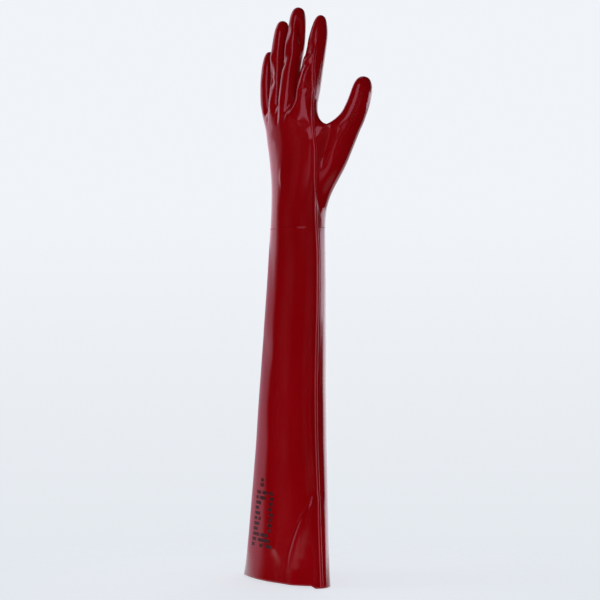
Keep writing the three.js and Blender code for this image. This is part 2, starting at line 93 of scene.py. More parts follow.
def sleeve_section(at, flare, flare_depth, lean, square):
    depth = mix(WRIST_DEPTH, CUFF_DEPTH, flare_depth)
    return dict(height=SLEEVE_LENGTH * at, x=LEAN_TO_THUMB * lean, y=LEAN_TO_PALM * lean,
                half=mix(WRIST_BREADTH, CUFF_BREADTH, flare) / 2, back=depth / 2, front=depth / 2,
                square=square, hand=0, thumb=0)


def hand_section(at, hand, back, front, thumb, lean_side, lean, square):
    depth = mix(WRIST_DEPTH, PALM_DEPTH, hand)
    return dict(height=SLEEVE_LENGTH + PALM_LENGTH * at, x=LEAN_TO_THUMB * lean_side,
                y=LEAN_TO_PALM * lean, half=mix(WRIST_BREADTH, PALM_BREADTH, hand) / 2,
                back=depth * back, front=depth * front, square=square, hand=hand, thumb=thumb)


sections = [sleeve_section(*row) for row in SLEEVE_ROWS] + [hand_section(*row) for row in HAND_ROWS]
print(len(sections), "sections up to the web of the thumb")

# %% A section's outline and the ball of the thumb
COLUMN_SHARES = [0.93, 0.71, 0.46, 0.23, -0.01, -0.24, -0.47, -0.71, -0.93]
THUMB_TURNS = [104, 52, 0, -52, -104]


def outset(count):
    """How much larger a ring of so many points is drawn, because rounding shrinks it."""
    return 6 / (4 + 2 * math.cos(2 * math.pi / count))


def outline_point(section, share, to_palm):
    s = min(abs(share), 1.0)
    rise = (1 - s ** section["square"]) ** (1 / section["square"])
    y = section["front"] * rise if to_palm else -section["back"] * rise
    return Vector((section["x"] + section["half"] * share, section["y"] + y, section["height"]))


def thumb_ball(height):
    up = height - SLEEVE_LENGTH - THUMB_ROOT_HEIGHT
    return Vector((LEAN_TO_THUMB + THUMB_ROOT_SIDE + THUMB_SPREAD * up,
                   LEAN_TO_PALM + THUMB_ROOT_PALM + THUMB_FORWARD * up, height))


def ring_places(section):
    """Twenty four places: the seam, the back, the little finger's side, the palm and the thumb."""
    places = [outline_point(section, mix(math.cos(math.radians(20 * k)), share, section["hand"]), False)
              for k, share in enumerate(COLUMN_SHARES)]
    places.append(outline_point(section, -1, False))
    for k in range(len(COLUMN_SHARES) - 1, -1, -1):
        on_sleeve = math.cos(math.radians(180 - 12 * (len(COLUMN_SHARES) - k)))
        places.append(outline_point(section, mix(on_sleeve, COLUMN_SHARES[k], section["hand"]), True))
    ball = thumb_ball(section["height"])
    outwards = math.atan2(ball.y - section["y"], ball.x - section["x"])
    reach = THUMB_WIDTH / 2 * 1.04 * outset(8)
    for k, turn in enumerate(THUMB_TURNS):
        plain = outline_point(section, math.cos(math.radians(60 - 12 * k)), True)
        out = reach * math.hypot(1, THUMB_SPREAD) * math.cos(math.radians(turn))
        across = reach * math.sin(math.radians(turn))
        lobe = ball + Vector((out * math.cos(outwards) - across * math.sin(outwards),
                              out * math.sin(outwards) + across * math.cos(outwards), 0))
        places.append(plain.lerp(lobe, section["thumb"]))
    return places


print("points in a ring:", len(ring_places(sections[0])))

# %% [markdown]
# ## The cage, ring by ring
# A glove's form is a tube that splits into five smaller tubes. The simplest clean way is a coarse cage
# of four-sided faces that subdivision rounds later: a circle is extruded upwards, and each new ring is
# put in its place. Where the tube splits, one vertex and two edges bridge the gap, and each side of
# the split is a ring of its own.

# %% Helpers for rings
cage = bmesh.new()


def ring_edges(ring):
    return [cage.edges.get((v, ring[(i + 1) % len(ring)])) for i, v in enumerate(ring)]


def extrude_ring(ring, places):
    """Extrudes a ring of vertices, moves the new ring to its places in millimetres, and returns it."""
    made = bmesh.ops.extrude_edge_only(cage, edges=ring_edges(ring))["geom"]
    new = {v for v in made if isinstance(v, bmesh.types.BMVert)}
    above = [next(e.other_vert(v) for e in v.link_edges if e.other_vert(v) in new) for v in ring]
    for v, place in zip(above, places):
        v.co = place * MM
    return above


def bridge_vertex(place, *ends):
    """A vertex between others of the cage, joined to each by an edge."""
    v = bmesh.ops.create_vert(cage, co=place * MM)["vert"][0]
    for end in ends:
        bmesh.ops.contextual_create(cage, geom=[v, end])
    return v


# %% Sleeve, wrist and palm
ring = bmesh.ops.create_circle(cage, cap_ends=False, segments=24, radius=1)["verts"]
for v, place in zip(ring, ring_places(sections[0])):
    v.co = place * MM
for section in sections[1:]:
    ring = extrude_ring(ring, ring_places(section))
print("cage up to the web:", len(cage.verts), "vertices,", len(cage.faces), "faces")

# %% The web of the thumb
WEB_SHARE, WEB_SINK = 0.52, 3  # how far out to the thumb its web bottoms out, and how deep
seam_vertex, palm_edge = ring[0], ring[18]
ball = thumb_ball(sections[-1]["height"])
web_place = (seam_vertex.co / MM).lerp(ball, WEB_SHARE) - Vector((0, 0, WEB_SINK))
web = bridge_vertex(web_place, seam_vertex, palm_edge)
for v in (seam_vertex, palm_edge):
    v.co = (v.co / MM).lerp(web_place, WEB_SHARE) * MM - Vector((0, 0, WEB_SINK)) * MM
down_thumb = Vector((-THUMB_SPREAD, -THUMB_FORWARD, -1)) * THUMB_WIDTH * 0.5 * THUMB_SPREAD
palm_near, palm_far, tip_side, back_far, back_near = ring[19:]
for v, share in ((tip_side, 1), (palm_far, 0.5), (back_far, 0.5)):
    v.co += down_thumb * share * MM
thumb_base = [tip_side, back_far, back_near, seam_vertex, web, palm_edge, palm_near, palm_far]
hand_ring = [web, *ring[:19]]
print("web of the thumb at", round(web_place.z), "mm up")

# %% [markdown]
# ## Fingers and thumb
# Each finger is a short tube of eight columns, extruded from its base through a few stations to a
# domed tip. The stations let it bend a little and swell over the joints, as a glove's finger does on
# a hand. The tip is one face, poked to a fan and dissolved to four quads, which round to a clean dome.

# %% Fingers: side, palm, up, gap, then stations at, side, palm, wide, deep
FINGERS = dict(
    index=dict(length=90, width=FINGER_WIDTH, side=0.73, palm=0.05, up=0, gap=0.055, stations=[
        (0.12, 0.004, 0.008, 1.12, 1.18), (0.27, 0.014, 0.03, 1.1, 1.14), (0.45, 0.03, 0.06, 1.06, 1.08),
        (0.63, 0.046, 0.09, 1.0, 1.02), (0.78, 0.056, 0.116, 0.92, 0.92), (0.91, 0.06, 0.135, 0.72, 0.7),
        (0.98, 0.062, 0.142, 0.42, 0.42)]),
    middle=dict(length=98, width=FINGER_WIDTH, side=0.2, palm=-0.18, up=0.02, gap=0.03, stations=[
        (0.1, 0.002, 0.01, 1.04, 1.02), (0.27, 0.004, 0.028, 1.0, 0.98), (0.44, 0.006, 0.055, 0.98, 0.97),
        (0.6, 0.009, 0.075, 1.06, 1.04), (0.76, 0.01, 0.1, 0.95, 0.9), (0.91, 0.01, 0.112, 0.82, 0.8),
        (0.98, 0.01, 0.12, 0.52, 0.5)]),
    ring=dict(length=89, width=FINGER_WIDTH, side=-0.27, palm=-0.17, up=0, gap=-0.01, stations=[
        (0.1, -0.004, 0.002, 0.98, 0.98), (0.27, -0.01, 0.012, 0.9, 0.92),
        (0.45, -0.018, 0.022, 0.94, 0.96), (0.6, -0.022, 0.034, 0.98, 1.0),
        (0.76, -0.024, 0.052, 0.88, 0.9), (0.9, -0.024, 0.068, 0.76, 0.76),
        (0.98, -0.024, 0.075, 0.46, 0.46)]),
    little=dict(length=65, width=LITTLE_WIDTH, side=-0.73, palm=-0.1, up=-0.045, gap=0, stations=[
        (0.12, -0.02, -0.012, 1.08, 1.06), (0.28, -0.04, -0.016, 1.0, 1.0),
        (0.45, -0.062, -0.008, 0.98, 0.98), (0.6, -0.08, 0.008, 0.97, 0.97),
        (0.76, -0.094, 0.025, 0.87, 0.87), (0.9, -0.1, 0.036, 0.7, 0.7), (0.98, -0.1, 0.04, 0.42, 0.42)]),
)
THUMB = dict(length=49, width=THUMB_WIDTH, stations=[
    (0.1, 0.045, 0.025, 1.03, 1.03), (0.25, 0.11, 0.062, 0.98, 0.98), (0.43, 0.18, 0.105, 0.94, 0.94),
    (0.6, 0.225, 0.135, 0.91, 0.91), (0.77, 0.26, 0.155, 0.84, 0.84), (0.9, 0.28, 0.165, 0.66, 0.66),
    (0.98, 0.285, 0.17, 0.36, 0.36)])
print("fingers:", ", ".join(FINGERS), "and the thumb")


# %% Helpers for a finger
def close_tip(ring, place):
    """Closes a finger's last ring with four quads that meet in one vertex."""
    face = bmesh.ops.contextual_create(cage, geom=ring_edges(ring))["faces"][0]
    top = bmesh.ops.poke(cage, faces=[face])["verts"][0]
    top.co = place * MM
    spokes = [e for e in top.link_edges if e.other_vert(top) in ring[1::2]]
    bmesh.ops.dissolve_edges(cage, edges=spokes, use_verts=False)


def extrude_finger(finger, base, root, facing=Vector((1, 0, 0))):
    """Extrudes a finger from its base ring, which starts on the thumb side and goes over the back."""
    length, stations = finger["length"], finger["stations"]
    middles = [root + Vector((side, palm, at)) * length for at, side, palm, _, _ in stations]
    ring = base
    for k, (_, _, _, wide, deep) in enumerate(stations):
        before = middles[k - 1] if k else root
        along = (middles[min(k + 1, len(middles) - 1)] - before).normalized()
        side = (facing - along * along.dot(facing)).normalized()
        palm = along.cross(side)
        half = finger["width"] / 2 * outset(8)
        turns = [i * math.pi / 4 for i in range(8)]
        ring = extrude_ring(ring, [middles[k] + side * half * wide * math.cos(t)
                                   - palm * half * deep * math.sin(t) for t in turns])
    _, side, palm, _, _ = stations[-1]
    close_tip(ring, root + Vector((side, palm, 1.01)) * length)


# %% The thumb
extrude_finger(THUMB, thumb_base, ball, Vector((THUMB_SPREAD, THUMB_FORWARD, 0)).normalized())
print("thumb made; the cage has", len(cage.faces), "faces")

# %% Knuckles and the row that the fingers stand on
BASE_DEPTH, GAP_DEPTH = 1.05, 0.72  # shares of half a finger's width
CORNER_SIDE, OUTER_SIDE = 0.38, 0.56  # shares of a finger's width
knuckle = hand_section(*KNUCKLE_ROW)
knuckle_places = [outline_point(knuckle, share, False) for share in (1, *COLUMN_SHARES, -1)]
knuckle_places += [outline_point(knuckle, share, True) for share in reversed(COLUMN_SHARES)]
lean = Vector((LEAN_TO_THUMB * 0.42 * 0.7, LEAN_TO_PALM * 0.3, 0))
roots = [Vector((PALM_BREADTH / 2 * f["side"], PALM_DEPTH * f["palm"], GAP_HEIGHT + PALM_LENGTH * f["up"]))
         + lean for f in FINGERS.values()]


def base_row(to_palm):
    """Half circles over each finger's base, on the back or on the palm, which meet at the gaps."""
    sign, row = (1 if to_palm else -1), []
    for i, f in enumerate(FINGERS.values()):
        here, deep = roots[i], f["width"] / 2 * outset(8)
        if i == 0:
            row.append(here + Vector((f["width"] * CORNER_SIDE, sign * deep * GAP_DEPTH, 0)))
        row.append(here + Vector((0, sign * deep * BASE_DEPTH, 0)))
        if i < 3:
            row.append((here + roots[i + 1]) / 2 + Vector((0, sign * deep * GAP_DEPTH, 0)))
        else:
            row.append(here + Vector((-f["width"] * CORNER_SIDE, sign * deep * GAP_DEPTH, 0)))
    return row


first = roots[0] + Vector((FINGER_WIDTH * OUTER_SIDE, 0, 0))
last = roots[3] - Vector((LITTLE_WIDTH * OUTER_SIDE, 0, 0))
knuckles = extrude_ring(hand_ring, knuckle_places)
gaps = extrude_ring(knuckles, [first, *base_row(False), last, *reversed(base_row(True))])
print("columns round the knuckles:", len(gaps))

# %% The gaps and the four fingers
WEB_DROP = 0.6  # how far the skin falls away beside a gap, as a share of a finger's width
between = []
for k, finger in zip((2, 4, 6), FINGERS.values()):
    back, front = gaps[1 + k], gaps[-1 - k]
    middle = (back.co + front.co) / 2 / MM
    middle.z = GAP_HEIGHT + PALM_LENGTH * finger["gap"]
    for v in (back, front):
        v.co.z -= WEB_DROP * FINGER_WIDTH * MM
    between.append(bridge_vertex(middle, back, front))
sides = [gaps[0], *between, gaps[10]]
for i, finger in enumerate(FINGERS.values()):
    back = [gaps[1 + 2 * i + k] for k in range(3)]
    front = [gaps[len(gaps) - 1 - 2 * i - k] for k in (2, 1, 0)]
    extrude_finger(finger, [sides[i], *back, sides[i + 1], *front], roots[i])
bmesh.ops.recalc_face_normals(cage, faces=cage.faces)
print("whole cage:", len(cage.verts), "vertices,", len(cage.faces), "faces,",
      sum(len(f.verts) != 4 for f in cage.faces), "of them not quads")

# %% [markdown]
# ## Rounding the cage
# Three steps of subdivision turn the cage into the smooth skin. The modifier's result is kept as a
# plain mesh, because the folds and creases that follow are moves of its vertices.

# %% Round it and keep the result
coarse = bpy.data.meshes.new("cage")
cage.to_mesh(coarse)
cage.free()
glove = bpy.data.objects.new("glove_coat", coarse)
bpy.context.scene.collection.objects.link(glove)
rounding = glove.modifiers.new("rounding", "SUBSURF")
rounding.levels = rounding.render_levels = 3
evaluated = glove.evaluated_get(bpy.context.evaluated_depsgraph_get())
skin = bpy.data.meshes.new_from_object(evaluated)
glove.modifiers.clear()
glove.data = skin
skin.name = "glove_coat"
skin.polygons.foreach_set("use_smooth", [True] * len(skin.polygons))
print("rounded skin:", len(skin.vertices), "vertices")


def spots_and_normals():
    """The skin's vertices in millimetres, and their normals."""
    spots = np.empty(len(skin.vertices) * 3, np.float32)
    normals = np.empty(len(skin.vertices) * 3, np.float32)
    skin.vertices.foreach_get("co", spots)
    skin.vertex_normals.foreach_get("vector", normals)
    return spots.reshape(-1, 3).astype(float) / MM, normals.reshape(-1, 3).astype(float)


def move_skin(offsets):
    """Moves the skin's vertices by these millimetres."""
    spots, _ = spots_and_normals()
    skin.vertices.foreach_set("co", ((spots + offsets) * MM).astype(np.float32).ravel())
    skin.update()


# %% [markdown]
# ## Flat backs of the fingers
# The liner's fingers are sewn from a front and a back, so the coat over them isn't round: the back of
# each finger is a long flat, narrower over the joints. Pressing down the part of the skin that stands
# out past a plane gives that flat without touching the sides.

# %% How far each back may stand out
PRESSED = {  # for each finger, shares of its length and how far out its back may stand there
    "index": [(0, 1), (0.15, 0.97), (0.3, 0.9), (0.44, 0.98), (0.49, 0.94), (0.54, 0.66), (0.64, 0.64),
              (0.72, 0.82), (0.85, 0.95), (1, 1)],
    "middle": [(0, 0.93), (0.3, 0.92), (0.4, 0.88), (0.47, 0.76), (0.57, 0.76), (0.63, 0.88), (0.7, 0.88),
               (0.92, 0.87), (1, 1)],
    "ring": [(0, 0.85), (0.16, 0.78), (0.26, 0.84), (0.31, 0.98), (0.36, 0.84), (0.45, 0.76), (0.6, 0.79),
             (0.75, 0.83), (0.9, 0.93), (1, 1)],
    "little": [(0, 0.9), (0.15, 0.86), (0.35, 0.84), (0.5, 0.94), (0.65, 0.86), (0.85, 0.92), (1, 1)],
}
print("stations of the flat backs:", sum(len(stations) for stations in PRESSED.values()))

# %% Press the backs flat
PRESS_SOFTNESS, PRESS_SHARE = 1.4, 0.9  # millimetres over which the flat begins, and how much of it is taken
ROOT_FADE, TIP_END, TIP_FADE = 0.14, 1.04, 0.12  # shares of a finger's length
spots, _ = spots_and_normals()
press, nearest = np.zeros(len(spots)), np.full(len(spots), np.inf)
for root, (name, finger) in zip(roots, FINGERS.items()):
    root, length = np.array(root), finger["length"]
    stations = np.array([(0, 0, 0, 1, 1)] + finger["stations"])
    along = (spots[:, 2] - root[2]) / length
    middle_x = root[0] + length * np.interp(along, stations[:, 0], stations[:, 1])
    middle_y = root[1] + length * np.interp(along, stations[:, 0], stations[:, 2])
    deep = finger["width"] / 2 * np.interp(along, stations[:, 0], stations[:, 4])
    away = np.hypot(spots[:, 0] - middle_x, spots[:, 1] - middle_y)
    allowed = deep * np.interp(along, *np.array(PRESSED[name]).T)
    past = middle_y - spots[:, 1] - allowed
    past = (past + np.hypot(past, PRESS_SOFTNESS)) / 2
    past *= np.clip(along / ROOT_FADE, 0, 1) * np.clip((TIP_END - along) / TIP_FADE, 0, 1)
    closer = away < nearest
    nearest, press = np.where(closer, away, nearest), np.where(closer, past * PRESS_SHARE, press)
move_skin(np.outer(press, [0, 1, 0]))
print("backs of the fingers pressed in by", round(press.max(), 2), "mm at most")

# %% [markdown]
# ## Folds of the sleeve
# The stiff coated sleeve doesn't drape: it buckles into a few long soft folds near the mouth. Each
# fold is a line drawn on the sleeve, by its angle from the side seam and its height, and lifts the
# skin near it by a smooth bell. This gives full control over where a fold starts and fades, which a
# cloth simulation wouldn't.

# %% Where a vertex lies on the sleeve
spots, normals = spots_and_normals()
rows = np.array(SLEEVE_ROWS)
height_share = np.clip(spots[:, 2] / SLEEVE_LENGTH, 0, 1)


def sleeve_value(column):
    return np.interp(height_share, rows[:, 0], rows[:, column])


half = mix(WRIST_BREADTH, CUFF_BREADTH, sleeve_value(1)) / 2
deep = mix(WRIST_DEPTH, CUFF_DEPTH, sleeve_value(2)) / 2
turn = np.arctan2((spots[:, 1] - LEAN_TO_PALM * sleeve_value(3)) / deep,
                  (spots[:, 0] - LEAN_TO_THUMB * sleeve_value(3)) / half)
girth = np.hypot(half, deep) / math.sqrt(2)
round_and_up = np.stack([turn * girth, spots[:, 2]], axis=1)
print("widest way round the sleeve:", round(2 * math.pi * girth.max()), "mm")

# %% The lines of the folds
FOLD_HEIGHT = 4.5  # millimetres that a fold of rise 1 stands out
# width on the side away from the seam and on the seam's side, then the line's turn in degrees from the
# side seam, its height as a share of the sleeve, its rise, and how much the first width grows there
FOLDS = {
    "cuff_diagonal": (2.8, 14, [(0, 0.268, 0, 1.2), (-5, 0.256, 0.35, 1.2), (-12, 0.238, 0.75, 1.2),
                                (-20, 0.215, 1.05, 1.2), (-27, 0.19, 1.15, 1.2), (-33, 0.16, 1.1, 1.3),
                                (-38, 0.13, 1, 1.5), (-43, 0.09, 0.85, 1.9), (-45, 0.05, 0.7, 2.4),
                                (-45, 0, 0.6, 3.2)]),
    "cuff_step": (2.6, 12, [(-15, 0.2, 0, 1), (-15.5, 0.13, 0.15, 1), (-15.5, 0.05, 0.28, 1),
                            (-16, 0, 0.36, 1)]),
    "cuff_left": (6, 12, [(-76, 0.115, 0, 1), (-69, 0.105, 0.22, 1), (-62, 0.113, 0, 1)]),
    "beside_seam": (2.8, 7, [(-6, 0.61, 0, 1), (-8.5, 0.575, 0.2, 1), (-13.5, 0.515, 0.32, 1),
                             (-14, 0.46, 0.34, 1), (-12, 0.4, 0.3, 1), (-10, 0.33, 0.15, 1),
                             (-8, 0.26, 0, 1)]),
    "forearm_crease": (11, 11, [(-126, 0.72, 0, 1), (-110, 0.66, -0.35, 1), (-96, 0.6, 0, 1)]),
}
print("folds:", ", ".join(FOLDS))


# %% Lift the skin along the folds
def fold_rise(near, far, line):
    """The rise of one fold at every vertex, steeper on one side of its line than on the other."""
    turns, heights, rises, spreads = np.array(line).T
    lines = np.stack([np.radians(turns)[None, :] * girth[:, None],
                      np.repeat(heights[None, :] * SLEEVE_LENGTH, len(girth), axis=0)], axis=-1)
    nearest, lift = np.full(len(spots), np.inf), np.zeros(len(spots))
    for i in range(1, len(line)):
        a, along = lines[:, i - 1], lines[:, i] - lines[:, i - 1]
        share = np.clip(((round_and_up - a) * along).sum(1) / (along * along).sum(1), 0, 1)
        off = round_and_up - a - share[:, None] * along
        away = np.linalg.norm(off, axis=1)
        width = np.where(off[:, 0] < 0, near * mix(spreads[i - 1], spreads[i], share), far)
        value = mix(rises[i - 1], rises[i], share) * np.exp(-((away / width) ** 2))
        closer = away < nearest
        nearest, lift = np.where(closer, away, nearest), np.where(closer, value, lift)
    return lift * FOLD_HEIGHT


rise = sum(fold_rise(*fold) for fold in FOLDS.values())
rise[spots[:, 2] > SLEEVE_LENGTH] = 0
level = normals * [1, 1, 0]
level /= np.linalg.norm(level, axis=1)[:, None] + 1e-9
move_skin(level * rise[:, None])
print("folds lift the sleeve by", round(rise.max(), 1), "mm at most")

# %% The edge of the mouth
HEM_LIFT, HEM_REACH = 2.4, 30  # the edge is cut a little higher behind the step of the cuff
HEM_STEP, HEM_STEP_FADE = -11.5, 6  # degrees from the side seam where the step is, and its width
HEM_END, HEM_END_FADE = -165, 45  # where the lift has faded out on the little finger's side
behind_step = (np.clip((HEM_STEP - np.degrees(turn)) / HEM_STEP_FADE, 0, 1)
               * np.clip((np.degrees(turn) - HEM_END) / HEM_END_FADE, 0, 1))
reach = np.clip(1 - spots[:, 2] / HEM_REACH, 0, 1) ** 2
move_skin(np.outer(HEM_LIFT * behind_step * reach, [0, 0, 1]))
print("the edge of the mouth rises by", HEM_LIFT, "mm behind the step")

# %% [markdown]
# ## Creases of the hand
# Between the fingers and over the knuckles the coat is drawn in, and it wrinkles where the hand bends.
# Each crease is again a line, now in space, with a small bell; it only acts on skin that faces the way
# the crease does, so that the finger next to it stays as it is.

# %% A bell along a line in space
def line_lift(points, line, rises, width):
    """A bell of this width along a line, its height changing from point to point of the line."""
    nearest, lift = np.full(len(points), np.inf), np.zeros(len(points))
    for a, b, rise_a, rise_b in zip(line[:-1], line[1:], rises[:-1], rises[1:]):
        along = b - a
        share = np.clip(((points - a) * along).sum(1) / (along * along).sum(-1), 0, 1)
        away = np.linalg.norm(points - (a + share[:, None] * along), axis=1)
        closer = away < nearest
        nearest, lift = np.where(closer, away, nearest), np.where(closer, mix(rise_a, rise_b, share), lift)
    return lift * np.exp(-((nearest / width) ** 2))


# %% The lines of the creases and wrinkles
CREASES = {  # the way it faces (x, y), width, then points x, y, z and rise, all in millimetres
    "middle_knuckle": ((-0.3, -0.95), 4.5, [
        (7.2, -6.4, 566, 0), (7, -6.8, 559, 0.6), (7, -7.2, 552, 0.6), (7, -7.6, 547, 0)]),
    "middle_under_knuckle": ((-0.3, -0.95), 3.5, [
        (7.2, -8.2, 546, 0), (7.2, -8.8, 541, -1.0), (7, -9.4, 534, 0)]),
    "middle_over_knuckle": ((-0.1, -0.98), 4.0, [
        (10, -2.8, 582, 0), (9.5, -4.6, 574.7, -0.9), (9, -6, 568.5, 0)]),
    "middle_dent": ((0.99, -0.11), 4.2, [
        (19.9, 2.5, 589, 0), (21.8, 3.8, 581.6, -3.4), (23, 4.9, 572.1, -4.6), (23.1, 5.5, 562.8, -3),
        (22.7, 5, 554.5, 0)]),
    "middle_dent_edge": ((0.9, -0.4), 2.0, [
        (20.3, -0.2, 577.3, 0), (22.5, 1, 567.8, 0.5), (23.3, 2.9, 557.4, 0.6), (21.5, 6.4, 546.3, 0)]),
    "middle_tendon": ((0.5, -0.86), 3.0, [
        (22.5, -0.8, 558.3, 0), (20.7, -4.6, 543.7, 0.5), (20.1, -7.8, 528, 0.6),
        (20.2, -9.7, 510.2, 0)]),
    "index_notch": ((0.2, -0.95), 2.4, [
        (34, 0, 536.5, -1), (38.6, -1.9, 536.9, -1.3), (43.7, -0.5, 537.9, -1.5),
        (46.9, 1.8, 539.4, -0.8), (48, 3, 535.2, 0)]),
    "index_loop": ((0.72, -0.69), 2.2, [
        (47.6, 2.6, 537.3, 0), (48.2, 2.7, 528, -0.9), (47.9, 1.8, 520.7, -1), (46.4, -0.9, 514.5, -1.1),
        (43.5, -4, 511, -1.1), (39.5, -5.8, 509.8, -0.6)]),
    "index_joint": ((0.48, -0.87), 4.5, [
        (42.3, -2.1, 532.4, 0), (43.3, -2.7, 525, 0.9), (43.1, -3.7, 518.8, 0.7),
        (42.9, -4.2, 513.7, 0)]),
    "ring_pinch": ((-0.2, -0.97), 5.0, [
        (-14.5, -11, 540, 0), (-14, -11.2, 531, -2), (-13, -11.5, 524, -2.6), (-14, -12, 516, 0)]),
    "ring_swell": ((-0.3, -0.95), 4.0, [
        (-16, -9.5, 557, 0), (-16, -9.8, 549, 0.9), (-16, -10.3, 542, 0)]),
    "index_valley": ((0.3, -0.95), 2.4, [
        (27, -5, 506, 0), (24.5, -6, 502.3, -1.3), (22.8, -9, 496.5, -1.5), (20.5, -12.3, 490.3, -1.3),
        (18.3, -14, 483.1, -0.7), (13.8, -13.8, 476.2, 0)]),
    "index_valley_rim": ((0.2, -0.98), 3.0, [
        (39.7, -5.9, 503.5, 0), (34.6, -7.8, 496.6, 0.6), (29.1, -9.4, 490.8, 0.7),
        (28, -12.4, 483.5, 0.5), (24.6, -12.8, 475.4, 0)]),
    "middle_valley": ((-0.18, -0.98), 2.0, [
        (6.2, -13.1, 501.8, 0), (6.5, -13.8, 494.5, -0.9), (6.5, -14.5, 485, -0.8),
        (4.5, -14, 475.8, 0)]),
    "ring_valley": ((-0.21, -0.98), 2.0, [
        (-14.1, -13, 501.4, 0), (-15, -13.1, 494.1, -0.8), (-15.8, -13.4, 483.6, -0.6),
        (-19.9, -11.8, 475.5, 0)]),
    "beside_seam": ((0.81, -0.58), 4.5, [
        (46.6, -0.4, 508.4, 0), (47.3, -0.2, 494.9, 0.7), (49.4, -0.9, 477.2, 0.9),
        (50.6, -0.1, 458.6, 1), (49.4, 2.1, 433.1, 1), (46.2, 4.6, 402.4, 0.9), (47, 4.5, 371.4, 0.7),
        (48.9, 3.6, 345.5, 0)]),
    "web_hollow": ((0.6, -0.8), 5.5, [
        (67.9, 12.1, 473, -3), (65.8, 11, 461, -5), (62, 9.6, 451, -5), (57.9, 8.5, 440, -3.5),
        (53.3, 8.2, 425.8, 0)]),
    "index_metacarpal": ((0.3, -0.95), 13.0, [(38, -5, 512, 0.9), (41.5, -3.5, 522, 1.7)]),
    "thumb_crest": ((0.53, -0.85), 6.0, [
        (79.7, 19.3, 469.7, 0), (73.8, 16.9, 457.8, 1.2), (67.7, 14.6, 445.8, 1.2),
        (61.7, 12.2, 435.8, 0)]),
    "palm_thumb_line": ((0, 1), 4.0, [
        (42, 19, 484, 0), (33, 24, 466, -1.3), (26, 28, 447, -1.5), (24, 31, 428, -1.2),
        (26, 32.5, 410, 0)]),
    "palm_upper_line": ((0, 1), 4.0, [
        (-33, 20, 474, 0), (-12, 22.5, 480, -1.2), (8, 23, 481, -1.2), (27, 23.5, 476, 0)]),
    "palm_middle_line": ((0, 1), 4.0, [
        (-28, 22, 458, 0), (-10, 26, 462, -1), (8, 27, 459, -1), (22, 28.5, 450, 0)]),
    "wrist_fold": ((0, -1), 2.5, [
        (8.4, -10.8, 434.9, 0), (8.5, -11.4, 421.3, 0.6), (13.1, -12.2, 408.6, 0)]),
    "back_wrinkle_low": ((0.38, -0.92), 2.6, [
        (31.3, -11.9, 481.2, 0), (37.8, -9.6, 479.3, 0.35), (42.7, -6.5, 480.1, 0)]),
    "back_wrinkle_high": ((0.42, -0.9), 2.6, [
        (30.7, -11.5, 473.5, 0), (38.2, -8.6, 472, -0.3), (43.3, -5.6, 473.4, 0)]),
}
print("creases:", len(CREASES))

# %% Draw the skin in along them
FACING_FROM, FACING_OVER = 0.1, 0.4  # cosines: no effect below the first, full effect this far above it
spots, normals = spots_and_normals()
move = np.zeros(len(spots))
for facing, width, points in CREASES.values():
    points = np.array(points, float)
    facing = np.array([*facing, 0]) / np.linalg.norm(facing)
    towards = np.clip((normals @ facing - FACING_FROM) / FACING_OVER, 0, 1)
    move += towards * line_lift(spots, points[:, :3], points[:, 3], width)
move_skin(normals * move[:, None])
print("creases move the skin by", round(np.abs(move).max(), 2), "mm at most")

# %% [markdown]
# ## The soft unevenness of dipping
# Under the coat lies knitted cotton, and PVC drains unevenly, so no part of the real skin is perfectly
# even: highlights wobble. A slow noise of about a quarter of a millimetre, with a quicker and smaller one
# on the fingers, is enough to bend a reflection.

# %% Ripple
SLOW_WAVE, QUICK_WAVE = 26, 11  # millimetres across, and longer along the arm
SLOW_RISE, QUICK_RISE = (0.22, 0.34), (0.06, 0.26)  # millimetres, on the sleeve and on the fingers
spots, normals = spots_and_normals()
on_fingers = np.clip((spots[:, 2] - GAP_HEIGHT + 20) / 30, 0, 1)
drawn_out = [Vector(p) for p in spots * [1.0, 1.0, 0.55]]
slow = np.array([noise.noise(p / SLOW_WAVE) for p in drawn_out])
quick = np.array([noise.noise(p / QUICK_WAVE + Vector((9, 4, 2))) for p in drawn_out])
ripple = mix(*SLOW_RISE, on_fingers) * slow + mix(*QUICK_RISE, on_fingers) * quick
move_skin(normals * ripple[:, None])
print("ripple from", round(ripple.min(), 2), "to", round(ripple.max(), 2), "mm")

# %% [markdown]
# ## Seams that show through the coat
# The liner is sewn along the thumb side and where the sleeve meets the hand. A seam is a folded edge
# under the coat, a raised band a few millimetres wide. It could be bump in the material, but real
# height catches the light at any angle, so each seam is a grid laid on the skin, row by row, with a
# rounded profile whose edges sink just under the surface.

# %% Places on the skin, and even steps along a path
EDGE_SINK = 0.06  # millimetres that the edge of a strip lies under the skin
skin_tree = BVHTree.FromObject(glove, bpy.context.evaluated_depsgraph_get())


def on_skin(place):
    """The nearest point of the skin to a place in millimetres, and the smooth normal there."""
    spot, _, face, _ = skin_tree.find_nearest(place * MM)
    corners = skin.polygons[face].vertices
    normal = Vector()
    for v in corners:
        normal += skin.vertices[v].normal / ((skin.vertices[v].co - spot).length + 1e-5)
    return spot / MM, normal.normalized()


def even_steps(points, step):
    """Points along a smooth curve through the given ones, about this many millimetres apart."""
    points = np.array(points, float)
    ends = np.vstack([2 * points[0] - points[1], points, 2 * points[-1] - points[-2]])
    fine = []
    for k in range(1, len(ends) - 2):
        a, b, c, d = ends[k - 1:k + 3]
        for t in np.linspace(0, 1, 24, endpoint=False):
            fine.append(0.5 * (2 * b + (c - a) * t + (2 * a - 5 * b + 4 * c - d) * t ** 2
                               + (3 * b - a - 3 * c + d) * t ** 3))
    fine = np.array(fine + [points[-1]])
    run = np.concatenate([[0], np.cumsum(np.linalg.norm(np.diff(fine, axis=0), axis=1))])
    where = np.linspace(0, run[-1], max(3, round(run[-1] / step)))
    return [Vector(p) for p in np.stack([np.interp(where, run, fine[:, i]) for i in range(3)], axis=1)]


